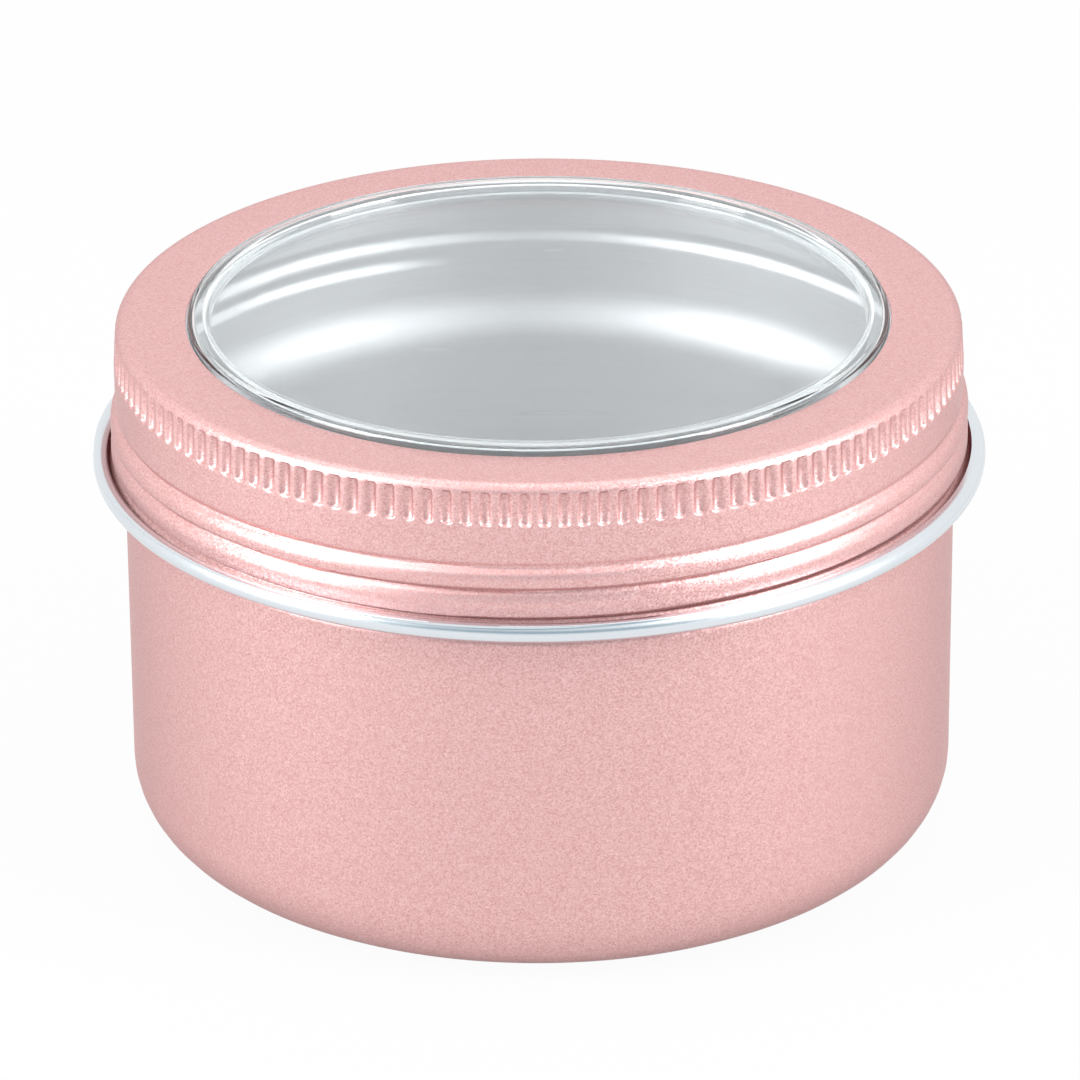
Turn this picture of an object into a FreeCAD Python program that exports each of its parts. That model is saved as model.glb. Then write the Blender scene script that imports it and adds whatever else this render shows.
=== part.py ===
"""Screw-top aluminium tin with a clear window in its lid, as three formed sheet pieces."""
import FreeCAD
import Part
import Sketcher
import math
import os

# Driving dimensions: millimetres, degrees, turns and counts
DIMENSIONS = (
    # Sheet and can
    ("sheet", "0.35"),
    ("can_radius", "38.6"),
    ("can_height", "48.9"),
    ("can_corner", "6.5"),
    ("foot_width", "3.1"),
    ("panel_rise", "1.2"),
    ("panel_round", "0.3"),
    ("neck_height", "13.5"),
    ("shoulder_step", "0.55"),
    ("shoulder_height", "2.6"),
    ("shoulder_round", "5"),
    ("lip_round", "0.9"),
    ("lip_flat", "0.2"),
    ("lip_drop", "1.5"),
    # Thread shared by the can and the lid
    ("thread_pitch", "2.25"),
    ("thread_gap", "0.35"),
    ("thread_crest", "0.65"),
    ("thread_root", "1.4"),
    ("can_thread_height", "0.65"),
    ("can_thread_turns", "1.35"),
    ("can_thread_angle", "100"),
    ("lid_thread_depth", "0.7"),
    ("lid_thread_turns", "1.9"),
    ("lid_thread_angle", "102"),
    ("lid_thread_rise", "1"),
    # Lid
    ("lid_depth", "14.3"),
    ("lid_corner", "1.6"),
    ("annulus_width", "6.9"),
    ("flare_step", "0.55"),
    ("flare_height", "0.8"),
    ("flare_round", "0.4"),
    ("curl_round", "0.9"),
    ("curl_flat", "0.05"),
    ("curl_seam", "0.15"),
    ("knurl_count", "141"),
    ("knurl_radius", "0.5"),
    ("knurl_depth", "0.22"),
    ("knurl_reach", "3.9"),
    # Window and its fits
    ("window_sheet", "0.5"),
    ("window_play", "0.05"),
    ("window_seat_gap", "0.2"),
    ("window_rim_gap", "0.3"),
    ("window_rim_drop", "1.1"),
    ("window_rim_round", "1"),
    ("bead_gap", "0.2"),
    ("bead_width", "2"),
    ("bead_rise", "0.75"),
    ("bead_round", "0.6"),
    ("bead_root_round", "0.15"),
)
FULL_TURN = 360


class Size:
    """A number together with the expression on the sheet's cells that gives it."""

    def __init__(self, value, text):
        self.value = value
        self.text = text

    @staticmethod
    def of(other):
        return other if isinstance(other, Size) else Size(float(other), repr(other))

    def __add__(self, other):
        other = Size.of(other)
        return Size(self.value + other.value, f"({self.text} + {other.text})")

    def __sub__(self, other):
        other = Size.of(other)
        return Size(self.value - other.value, f"({self.text} - {other.text})")

    def __mul__(self, other):
        other = Size.of(other)
        return Size(self.value * other.value, f"({self.text} * {other.text})")

    def __truediv__(self, other):
        other = Size.of(other)
        return Size(self.value / other.value, f"({self.text} / {other.text})")


class Sizes:
    """The driving dimensions by name, and the places that more than one piece takes from them."""

    def __init__(self, doc):
        table = doc.addObject("Spreadsheet::Sheet", "Sizes")
        for row, (alias, value) in enumerate(DIMENSIONS, start=1):
            table.set(f"A{row}", alias)
            table.set(f"B{row}", value)
            table.setAlias(f"B{row}", alias)
            setattr(self, alias, Size(float(value), f"Sizes.{alias}"))
        doc.recompute()
        # Radii, from the can's base panel outwards through the thread to the lid
        self.panel_radius = self.can_radius - self.can_corner - self.foot_width
        self.neck_radius = self.can_radius - self.shoulder_step
        self.lid_thread_crest_radius = self.neck_radius + self.thread_gap
        self.groove_radius = self.lid_thread_crest_radius + self.sheet
        self.lid_radius = self.groove_radius + self.lid_thread_depth
        self.lid_inner = self.lid_radius - self.sheet
        self.hole_radius = self.lid_radius - self.annulus_width
        # Heights, from the can's lip upwards through the window to the lid's top
        self.shoulder_top = self.can_height - self.neck_height
        self.shoulder_base = self.shoulder_top - self.shoulder_height
        self.flange_base = self.can_height + self.window_seat_gap
        self.flange_top = self.flange_base + self.window_sheet
        self.lid_inner_top = self.flange_top + self.window_play
        self.lid_top = self.lid_inner_top + self.sheet
        # Heights, from the lid's curl upwards through its flare to the thread
        self.curl_size = self.curl_round * 2 + self.curl_flat
        self.curl_base = self.lid_top - self.lid_depth
        self.curl_top = self.curl_base + self.curl_size
        self.flare_base = self.curl_top - self.sheet
        self.flare_top = self.flare_base + self.flare_height
        # The can's ridge runs half a pitch above the lid's ridge at the same angle
        self.lid_thread_base = self.flare_top + self.lid_thread_rise
        lead_angle = self.can_thread_angle - self.lid_thread_angle
        lead = self.thread_pitch * lead_angle / FULL_TURN
        self.can_thread_base = self.lid_thread_base + lead + self.thread_pitch / 2


def origin_feature(body, role):
    """The body's own origin plane or axis with this role."""
    for feature in body.Origin.OriginFeatures:
        if feature.Role == role:
            return feature
    raise ValueError(f"{body.Label} has no {role}")


def new_sketch(body, name, plane):
    """An empty sketch on one of the body's origin planes."""
    sketch = body.newObject("Sketcher::SketchObject", name)
    sketch.AttachmentSupport = [(origin_feature(body, plane), "")]
    sketch.MapMode = "FlatFace"
    return sketch


def bind(sketch, bindings):
    """Give each listed constraint its size's expression."""
    for index, size in bindings:
        sketch.setExpression(f"Constraints[{index}]", size.text)


def place_point(constraints, bindings, geometry, vertex, place):
    """Fix a sketch point at a place, on an axis where a coordinate is zero."""
    for size, kind, axis in ((place[0], "DistanceX", -2), (place[1], "DistanceY", -1)):
        if size is None:
            constraints.append(Sketcher.Constraint("PointOnObject", geometry, vertex, axis))
        else:
            bindings.append((len(constraints), size))
            constraints.append(Sketcher.Constraint(kind, -1, 1, geometry, vertex, size.value))


def corner_vectors(corners):
    """The corners as vectors, with zero where a coordinate is left out."""
    return [FreeCAD.Vector(*(0 if size is None else size.value for size in corner[:2])) for corner in corners]


def rounding(before, corner, after, radius):
    """Tangent points, centre and turning sense of an arc that rounds a corner."""
    arriving = (corner - before).normalize()
    leaving = (after - corner).normalize()
    turn = arriving.x * leaving.y - arriving.y * leaving.x
    reach = radius * math.tan(arriving.getAngle(leaving) / 2)
    side = FreeCAD.Vector(-arriving.y, arriving.x) * math.copysign(radius, turn)
    start = corner - arriving * reach
    return start, corner + leaving * reach, start + side, turn > 0


def closed_outline(sketch, corners):
    """Draw lines between corners (across, up, radius), each rounded by a tangent arc if it has a radius."""
    points = corner_vectors(corners)
    count = len(points)
    rounds = {}
    for index, corner in enumerate(corners):
        if len(corner) > 2:
            neighbours = points[index - 1], points[index], points[(index + 1) % count]
            rounds[index] = rounding(*neighbours, corner[2].value)
    for index in range(count):
        after = (index + 1) % count
        start = rounds[index][1] if index in rounds else points[index]
        end = rounds[after][0] if after in rounds else points[after]
        sketch.addGeometry(Part.LineSegment(start, end))
    constraints = []
    bindings = []
    for index, corner in enumerate(corners):
        arriving = (index - 1) % count
        if index not in rounds:
            constraints.append(Sketcher.Constraint("Coincident", arriving, 2, index, 1))
            place_point(constraints, bindings, index, 1, corner)
            continue
        start, end, centre, leftward = rounds[index]
        first, last = (start, end) if leftward else (end, start)
        angles = [math.atan2(point.y - centre.y, point.x - centre.x) for point in (first, last)]
        circle = Part.Circle(centre, FreeCAD.Vector(0, 0, 1), corner[2].value)
        arc = sketch.addGeometry(Part.ArcOfCircle(circle, *angles))
        spot = sketch.addGeometry(Part.Point(points[index]), True)
        arc_start, arc_end = (1, 2) if leftward else (2, 1)
        constraints.append(Sketcher.Constraint("Tangent", arriving, 2, arc, arc_start))
        constraints.append(Sketcher.Constraint("Tangent", arc, arc_end, index, 1))
        bindings.append((len(constraints), corner[2]))
        constraints.append(Sketcher.Constraint("Radius", arc, corner[2].value))
        constraints.append(Sketcher.Constraint("PointOnObject", spot, 1, arriving))
        constraints.append(Sketcher.Constraint("PointOnObject", spot, 1, index))
        place_point(constraints, bindings, spot, 1, corner)
    sketch.addConstraint(constraints)
    bind(sketch, bindings)


def revolve(body, name, corners):
    """A full turn of an outline (radius, height, rounding) about the vertical axis."""
    sketch = new_sketch(body, f"{name}_outline", "XZ_Plane")
    closed_outline(sketch, corners)
    turned = body.newObject("PartDesign::Revolution", name)
    turned.Profile = sketch
    turned.ReferenceAxis = (sketch, ["V_Axis"])
    turned.Angle = FULL_TURN
    sketch.Visibility = False
    return turned


def helix(body, kind, name, corners, sizes, turns, angle):
    """A right-handed helical ridge or groove whose section starts at an angle round the vertical axis."""
    sketch = new_sketch(body, f"{name}_section", "XZ_Plane")
    upright = FreeCAD.Vector(0, 1, 0)
    sketch.AttachmentOffset = FreeCAD.Placement(FreeCAD.Vector(), FreeCAD.Rotation(upright, angle.value))
    sketch.setExpression("AttachmentOffset.Rotation.Angle", angle.text)
    closed_outline(sketch, corners)
    swept = body.newObject(f"PartDesign::{kind}Helix", name)
    swept.Profile = sketch
    swept.ReferenceAxis = (sketch, ["V_Axis"])
    swept.Mode = "pitch-turns-angle"
    swept.Pitch = sizes.thread_pitch.value
    swept.Turns = turns.value
    swept.HasBeenEdited = True
    swept.setExpression("Pitch", sizes.thread_pitch.text)
    swept.setExpression("Turns", turns.text)
    sketch.Visibility = False
    return swept


def thread_section(root, root_width, crest, crest_width, middle):
    """Corners of a thread section that narrows from its root radius to its crest radius."""
    return [
        (root, middle - root_width / 2),
        (root, middle + root_width / 2),
        (crest, middle + crest_width / 2),
        (crest, middle - crest_width / 2),
    ]


def rolled_thread(body, name, sizes, ridge, groove, middle, turns, angle):
    """A ridge on one face of the sheet and its groove on the other, each from its root and crest radius."""
    widths = sizes.thread_root, sizes.thread_crest
    section = thread_section(ridge[0], widths[0], ridge[1], widths[1], middle)
    helix(body, "Additive", f"{name}_ridge", section, sizes, turns, angle)
    widths = sizes.thread_root - sizes.sheet, sizes.thread_crest - sizes.sheet
    section = thread_section(groove[0], widths[0], groove[1], widths[1], middle)
    helix(body, "Subtractive", f"{name}_groove", section, sizes, turns, angle)


def new_body(doc, label):
    """A body named for its node, at the tin's origin."""
    body = doc.addObject("PartDesign::Body", label)
    body.Label = label
    body.Placement = FreeCAD.Placement()
    return body


def make_can_body(doc, sizes):
    """Drawn can: base panel and foot, wall, shoulder, threaded neck and lip rolled inwards."""
    body = new_body(doc, "can_body")
    sheet = sizes.sheet
    outer_bend = sizes.panel_round + sheet
    lip_inner = sizes.neck_radius - sizes.lip_round * 2 - sizes.lip_flat
    lip_base = sizes.can_height - sizes.lip_drop
    lip_bend = sizes.lip_round - sheet
    wall_inner = sizes.can_radius - sheet
    neck_inner = sizes.neck_radius - sheet
    step_inner = sizes.panel_radius + sheet
    under_lip = sizes.can_height - sheet
    revolve(body, "can_shell", [
        (None, sizes.panel_rise),
        (sizes.panel_radius, sizes.panel_rise, sizes.panel_round),
        (sizes.panel_radius, None, outer_bend),
        (sizes.can_radius, None, sizes.can_corner),
        (sizes.can_radius, sizes.shoulder_base, sizes.shoulder_round),
        (sizes.neck_radius, sizes.shoulder_top, sizes.shoulder_round),
        (sizes.neck_radius, sizes.can_height, sizes.lip_round),
        (lip_inner, sizes.can_height, sizes.lip_round),
        (lip_inner, lip_base),
        (lip_inner + sheet, lip_base),
        (lip_inner + sheet, under_lip, lip_bend),
        (neck_inner, under_lip, lip_bend),
        (neck_inner, sizes.shoulder_top, sizes.shoulder_round),
        (wall_inner, sizes.shoulder_base, sizes.shoulder_round),
        (wall_inner, sheet, sizes.can_corner - sheet),
        (step_inner, sheet, sizes.panel_round),
        (step_inner, sizes.panel_rise + sheet, outer_bend),
        (None, sizes.panel_rise + sheet),
    ])
    crest = sizes.neck_radius + sizes.can_thread_height
    ridge = sizes.neck_radius - sheet / 2, crest
    groove = neck_inner - sheet / 2, crest - sheet
    middle = sizes.can_thread_base
    rolled_thread(body, "can", sizes, ridge, groove, middle, sizes.can_thread_turns, sizes.can_thread_angle)
    return body


def make_lid_shell(doc, sizes):
    """Screw cap: top ring round the window, knurled band, threaded skirt and edge curled outwards."""
    body = new_body(doc, "lid_shell")
    sheet = sizes.sheet
    curl_base = sizes.curl_base
    curl_top = sizes.curl_top
    curl_inner = sizes.lid_inner + sizes.flare_step
    curl_outer = curl_inner + sizes.curl_size
    curl_edge = curl_inner + sheet + sizes.curl_seam
    curl_bend = sizes.curl_round - sheet
    revolve(body, "lid_cap", [
        (sizes.hole_radius, sizes.lid_inner_top),
        (sizes.lid_inner, sizes.lid_inner_top, sizes.lid_corner - sheet),
        (sizes.lid_inner, sizes.flare_top, sizes.flare_round),
        (curl_inner, sizes.flare_base, sizes.flare_round),
        (curl_inner, curl_base, sizes.curl_round),
        (curl_outer, curl_base, sizes.curl_round),
        (curl_outer, curl_top, sizes.curl_round),
        (curl_edge, curl_top),
        (curl_edge, curl_top - sheet),
        (curl_outer - sheet, curl_top - sheet, curl_bend),
        (curl_outer - sheet, curl_base + sheet, curl_bend),
        (curl_inner + sheet, curl_base + sheet, curl_bend),
        (curl_inner + sheet, sizes.flare_base, sizes.flare_round),
        (sizes.lid_radius, sizes.flare_top, sizes.flare_round),
        (sizes.lid_radius, sizes.lid_top, sizes.lid_corner),
        (sizes.hole_radius, sizes.lid_top),
    ])
    ridge = sizes.lid_inner + sheet / 2, sizes.lid_thread_crest_radius
    groove = sizes.lid_radius + sheet / 2, sizes.groove_radius
    middle = sizes.lid_thread_base
    rolled_thread(body, "lid", sizes, ridge, groove, middle, sizes.lid_thread_turns, sizes.lid_thread_angle)
    knurl(body, sizes)
    return body


def knurl(body, sizes):
    """Upright flutes pressed into the band, running out over the lid's top corner."""
    sketch = new_sketch(body, "flute_section", "XY_Plane")
    base = sizes.lid_top - sizes.knurl_reach
    sketch.AttachmentOffset = FreeCAD.Placement(FreeCAD.Vector(0, 0, base.value), FreeCAD.Rotation())
    sketch.setExpression("AttachmentOffset.Base.z", base.text)
    centre = sizes.lid_radius + sizes.knurl_radius - sizes.knurl_depth
    upright = FreeCAD.Vector(0, 0, 1)
    sketch.addGeometry(Part.Circle(FreeCAD.Vector(centre.value, 0), upright, sizes.knurl_radius.value))
    constraints = [Sketcher.Constraint("Radius", 0, sizes.knurl_radius.value)]
    bindings = [(0, sizes.knurl_radius)]
    place_point(constraints, bindings, 0, 3, (centre, None))
    sketch.addConstraint(constraints)
    bind(sketch, bindings)
    flute = body.newObject("PartDesign::Pocket", "flute")
    flute.Profile = sketch
    flute.Reversed = True
    flute.setExpression("Length", sizes.knurl_reach.text)
    flutes = body.newObject("PartDesign::PolarPattern", "flutes")
    flutes.Originals = [flute]
    flutes.Axis = (origin_feature(body, "Z_Axis"), [""])
    flutes.Angle = FULL_TURN
    flutes.setExpression("Occurrences", sizes.knurl_count.text)
    body.Tip = flutes
    sketch.Visibility = False


def make_window(doc, sizes):
    """Clear disc: flat panel, bead standing up through the lid's hole, flange and turned-down rim."""
    body = new_body(doc, "window")
    wall = sizes.window_sheet
    bead_outer = sizes.hole_radius - sizes.bead_gap
    bead_inner = bead_outer - sizes.bead_width
    bead_top = sizes.lid_top + sizes.bead_rise
    rim_outer = sizes.lid_inner - sizes.window_rim_gap
    rim_base = sizes.flange_top - sizes.window_rim_drop
    revolve(body, "window_disc", [
        (None, sizes.flange_base),
        (bead_inner + wall, sizes.flange_base, sizes.bead_root_round),
        (bead_inner + wall, bead_top - wall, sizes.bead_root_round),
        (bead_outer - wall, bead_top - wall, sizes.bead_root_round),
        (bead_outer - wall, sizes.flange_base, sizes.bead_root_round),
        (rim_outer - wall, sizes.flange_base, sizes.window_rim_round - wall),
        (rim_outer - wall, rim_base),
        (rim_outer, rim_base),
        (rim_outer, sizes.flange_top, sizes.window_rim_round),
        (bead_outer, sizes.flange_top, sizes.bead_root_round),
        (bead_outer, bead_top, sizes.bead_round),
        (bead_inner, bead_top, sizes.bead_round),
        (bead_inner, sizes.flange_top, sizes.bead_root_round),
        (None, sizes.flange_top),
    ])
    return body


def check_document(doc, bodies):
    """Stop if any feature failed, or a piece is not one valid solid."""
    for thing in doc.Objects:
        if "Invalid" in thing.State or "Error" in thing.State:
            raise RuntimeError(f"{thing.Name} failed: {thing.State}")
    for body in bodies:
        shape = body.Shape
        if shape.isNull() or not shape.isValid() or len(shape.Solids) != 1:
            raise RuntimeError(f"{body.Label} is not one valid solid")


def main():
    doc = FreeCAD.newDocument("window_lid_tin")
    sizes = Sizes(doc)
    bodies = [make(doc, sizes) for make in (make_can_body, make_lid_shell, make_window)]
    doc.recompute()
    check_document(doc, bodies)
    os.makedirs("parts", exist_ok=True)
    for body in bodies:
        body.Shape.exportStep(f"parts/{body.Label}.step")
        box = body.Shape.BoundBox
        print(f"{body.Label}: volume {body.Shape.Volume:.1f}, height {box.ZMin:.2f} to {box.ZMax:.2f}")


main()
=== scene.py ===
"""Window lid tin: a painted can, its screw lid and clear window, as surfaces over the packed frame."""
import math

import bpy
import numpy as np
from mathutils import Matrix, Vector


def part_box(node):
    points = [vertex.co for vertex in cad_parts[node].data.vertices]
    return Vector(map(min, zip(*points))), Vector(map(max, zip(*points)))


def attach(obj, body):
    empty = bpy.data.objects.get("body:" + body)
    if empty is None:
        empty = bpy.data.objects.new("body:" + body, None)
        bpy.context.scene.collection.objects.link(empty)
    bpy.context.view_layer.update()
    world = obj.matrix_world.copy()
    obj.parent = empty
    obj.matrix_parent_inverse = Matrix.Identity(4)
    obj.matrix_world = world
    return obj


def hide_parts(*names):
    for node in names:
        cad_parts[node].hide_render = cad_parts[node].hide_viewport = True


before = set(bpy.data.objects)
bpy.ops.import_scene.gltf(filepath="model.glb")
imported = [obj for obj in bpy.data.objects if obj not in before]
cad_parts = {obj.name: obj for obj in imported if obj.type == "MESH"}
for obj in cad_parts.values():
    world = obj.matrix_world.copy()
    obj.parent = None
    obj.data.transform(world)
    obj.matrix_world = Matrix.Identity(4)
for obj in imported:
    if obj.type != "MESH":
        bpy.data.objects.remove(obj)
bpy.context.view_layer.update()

bl_info = {
    "name": "Window Lid Tin",
    "version": (1, 0, 0),
    "blender": (4, 5, 0),
    "location": "3D View > Sidebar > Tin",
    "description": "Builds a painted screw-top tin with a clear window in its lid",
    "category": "Add Mesh",
}

CAN_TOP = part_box("can_body")[1]
LID_BASE, LID_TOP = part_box("lid_shell")
WINDOW_BASE, WINDOW_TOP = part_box("window")
MM = 0.001
TURN = math.tau
ARC_STEP = math.radians(9)
SHARP_ANGLE = math.radians(50)
COLUMNS = 256
FLUTE_COLUMNS = np.array([-0.5, -0.38, -0.29, -0.235, -0.17, -0.085, 0, 0.085, 0.17, 0.235, 0.29, 0.38])
COARSE_COLUMNS = np.array([-0.5, 0])
NECK_ROWS, LID_INNER_ROWS, LID_OUTER_ROWS, FLUTE_END_ROWS = 40, 32, 42, 5
NECK_THREAD_ZONE = 38.9 * MM, 44.3 * MM
LID_THREAD_TOP = 44.1 * MM
BAND_MARGIN, BAND_STEP = 0.5 * MM, 0.25 * MM
RING_MARGIN, RING_STEP = 0.6 * MM, 0.3 * MM
CURL_MARGIN = 0.1 * MM
RIM_CLEARANCE = 0.35 * MM
PAINTED, BARE, ROLLED = 0, 1, 2
SHEET, BEAD_HIGHLIGHT = 0, 1
PAINT_INDEX, PLASTIC_INDEX = 2.0, 1.5
PAINT_GLOSS_TINT = 0.5, 0.5, 0.5, 1
CELL_MIDDLE = 0.5, 0.5, 0.5
CELL_SHARE, SPECKLE_SHARE = 0.6, 0.4
SPECKLE_RANGE = GRAIN_RANGE = 0.3, 0.7
LINE_RANGE = 0.25, 0.75
LINE_REPEAT = 2.5
SCRATCH_TURNS = 0.5, 2.2
SCRATCH_SCALE = 60, 2500, 60
SCRATCH_RANGE = 0.74, 0.82
DIM_SIDE = -0.8, -0.5
CEILING_EDGE = 0.5, 0.8
HORIZON_EDGE = 0.08, 0.14
FLOOR_REACH, FLOOR_GAP = 4.0, 0.02 * MM
FLOOR_ROUGHNESS, FLOOR_GLOSS = 0.9, 0.1
SENSOR_WIDTH = 36.0
NEAR_CLIP, FAR_CLIP = 0.01, 20.0
IMAGE_SIDE = 1080


def length(name, description, metres):
    """A size that the sidebar shows as a length."""
    shown = {"name": name, "description": description, "precision": 5}
    return bpy.props.FloatProperty(default=metres, unit="LENGTH", **shown)


def angle(name, description, degrees):
    """A size that the sidebar shows as an angle."""
    radians = math.radians(degrees)
    return bpy.props.FloatProperty(name=name, description=description, default=radians, subtype="ANGLE")


def number(name, description, value):
    """A plain factor."""
    return bpy.props.FloatProperty(name=name, description=description, default=value, subtype="FACTOR")


def count(name, description, value):
    """A whole number of like details."""
    return bpy.props.IntProperty(name=name, description=description, default=value, subtype="UNSIGNED")


def colour(name, description, value):
    """A linear colour."""
    return bpy.props.FloatVectorProperty(name=name, description=description, default=value, subtype="COLOR")


class TinCanSizes(bpy.types.PropertyGroup):
    """Sizes of the drawn can and of the thread rolled into its neck"""

    sheet: length("Sheet", "Thickness of the aluminium sheet", 0.35 * MM)
    wall_radius: length("Wall radius", "Outer radius of the straight wall", 38.6 * MM)
    height: length("Height", "Height of the rolled lip above the table", CAN_TOP.z)
    corner: length("Corner", "Outer rounding between wall and foot", 6.5 * MM)
    foot_width: length("Foot width", "Flat ring that the tin stands on", 3.1 * MM)
    panel_rise: length("Panel rise", "Height of the base panel above the foot", 1.2 * MM)
    panel_round: length("Panel round", "Inner rounding of the base panel's step", 0.3 * MM)
    shoulder_base: length("Shoulder base", "Height where the wall turns in to the neck", 34.3 * MM)
    shoulder_top: length("Shoulder top", "Height where the shoulder meets the neck", 35.6 * MM)
    shoulder_step: length("Shoulder step", "How far the neck stands in from the wall", 0.55 * MM)
    shoulder_round: length("Shoulder round", "Rounding of the shoulder's two bends", 1.2 * MM)
    ledge_radius: length("Ledge radius", "Inner radius of the ledge inside the shoulder", 36.0 * MM)
    ledge_top: length("Ledge top", "Height where the neck turns in to the ledge", 35.3 * MM)
    ledge_base: length("Ledge base", "Height of the ledge's inner edge", 31.7 * MM)
    ledge_foot: length("Ledge foot", "Height where the wall below the ledge is straight again", 22 * MM)
    ledge_round: length("Ledge round", "Rounding of the ledge's two bends", 5.5 * MM)
    lip_round: length("Lip round", "Outer rounding of the rolled lip", 0.9 * MM)
    lip_width: length("Lip width", "Width of the rolled lip", 1.5 * MM)
    lip_drop: length("Lip drop", "How far the lip's edge turns down", 0.8 * MM)
    thread_start: length("Thread start", "Height of the ridge at its lower end", 40.1125 * MM)
    thread_height: length("Thread height", "How far the ridge stands out of the neck", 0.65 * MM)
    thread_crest: length("Thread crest", "Half width of the ridge's crest", 0.25 * MM)
    thread_foot: length("Thread foot", "Half width of the ridge at the neck", 0.75 * MM)
    hollow_depth: length("Hollow depth", "Depth of the ridge's hollow inside", 0.35 * MM)
    hollow_crest: length("Hollow crest", "Half width of the ridge's hollow at its deepest", 0 * MM)
    hollow_foot: length("Hollow foot", "Half width of the ridge's hollow at the inner face", 1.1 * MM)
    thread_angle: angle("Thread angle", "Where the ridge starts round the axis", 100)
    thread_sweep: angle("Thread sweep", "How far the ridge runs round the axis", 486)


class TinLidSizes(bpy.types.PropertyGroup):
    """Sizes of the screw lid, its knurl, its thread and its curled edge"""

    radius: length("Radius", "Outer radius of the lid's wall", 39.3 * MM)
    top: length("Top", "Height of the lid's top ring", LID_TOP.z)
    corner: length("Corner", "Outer rounding between the wall and the top ring", 1.0 * MM)
    hole_radius: length("Hole radius", "Radius of the hole for the window", 32.55 * MM)
    edge_round: length("Edge round", "Rounding of the hole's cut edge", 0.1 * MM)
    curl_radius: length("Curl radius", "Outer radius of the curled edge", LID_TOP.x)
    curl_base: length("Curl base", "Height of the curl's underside", LID_BASE.z)
    curl_size: length("Curl size", "Thickness of the curled edge", 1.85 * MM)
    curl_round: length("Curl round", "Rounding of the curl's outside", 0.9 * MM)
    curl_seam: length("Curl seam", "Gap between the curl's cut edge and the wall", 0.9 * MM)
    flare_height: length("Flare height", "Height over which the wall flares to the curl", 0.6 * MM)
    flare_drop: length("Flare drop", "How far the flare's foot lies below the curl's cut edge", 0.6 * MM)
    flare_round: length("Flare round", "Rounding of the flare's two bends", 0.4 * MM)
    taper: length("Taper", "How far the wall leans in from the knurl's foot to the top ring", 0.25 * MM)
    flute_base: length("Flute base", "Height of the knurl's lower end", 45.98 * MM)
    flute_radius: length("Flute radius", "Radius of each flute's hollow", 0.6 * MM)
    flute_depth: length("Flute depth", "How deep each flute is pressed in", 0.35 * MM)
    flute_tip: length("Flute tip", "Height of the sloped lower end of each flute", 0.45 * MM)
    flute_top: length("Flute top", "Height where each flute starts to close at its upper end", 49.1 * MM)
    flute_end: length("Flute end", "Height of the sloped upper end of each flute", 0.35 * MM)
    flute_soft: length("Flute softness", "Softness of the flutes' edges", 0.09 * MM)
    flute_count: count("Flutes", "Number of knurl flutes", 141)
    flute_turn: number("Flute turn", "Turn of the knurl as a share of one flute", 0.0)
    pitch: length("Pitch", "Rise of the thread in one turn", 2.25 * MM)
    groove_start: length("Groove start", "Height of the thread groove at its lower end", 38.95 * MM)
    groove_depth: length("Groove depth", "Depth of the thread groove", 0.65 * MM)
    groove_width: length("Groove width", "Half width of the thread groove", 0.58 * MM)
    groove_rise: number("Groove rise", "Share of the depth that the groove loses by its upper end", 0.95)
    ridge_height: length("Ridge height", "How far the wall swells below each turn of the groove", 0.5 * MM)
    ridge_ledge: length("Ridge ledge", "Height of the ridge's upper flank", 1.3 * MM)
    ridge_crest: length("Ridge crest", "How far below the groove the ridge starts to fall back", 2.3 * MM)
    ridge_fall: length("Ridge fall", "Height of the ridge's lower flank", 0.55 * MM)
    ridge_end: length("Ridge end", "Height above the flare over which the ridges run out", 0.35 * MM)
    groove_angle: angle("Groove angle", "Where the groove starts round the axis", 102)
    groove_sweep: angle("Groove sweep", "How far the groove runs round the axis", 684)
    fade: angle("Thread fade", "Angle over which a thread runs out", 14)


class TinWindowSizes(bpy.types.PropertyGroup):
    """Sizes of the clear formed disc held in the lid"""

    sheet: length("Sheet", "Thickness of the clear sheet", 0.5 * MM)
    rim_radius: length("Rim radius", "Outer radius of the turned-down rim", WINDOW_TOP.x - RIM_CLEARANCE)
    rim_base: length("Rim base", "Height of the rim's lower edge", WINDOW_BASE.z)
    rim_round: length("Rim round", "Outer rounding between flange and rim", 1 * MM)
    panel_top: length("Panel top", "Height of the flat panel's upper face", 49.6 * MM)
    bead_top: length("Bead top", "Height of the raised bead", WINDOW_TOP.z)
    bead_radius: length("Bead radius", "Outer radius of the raised bead", 32.35 * MM)
    bead_width: length("Bead width", "Width of the raised bead", 2 * MM)
    bead_round: length("Bead round", "Rounding of the bead's top", 0.6 * MM)
    root_round: length("Root round", "Rounding where the bead meets the panel", 0.15 * MM)


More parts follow.
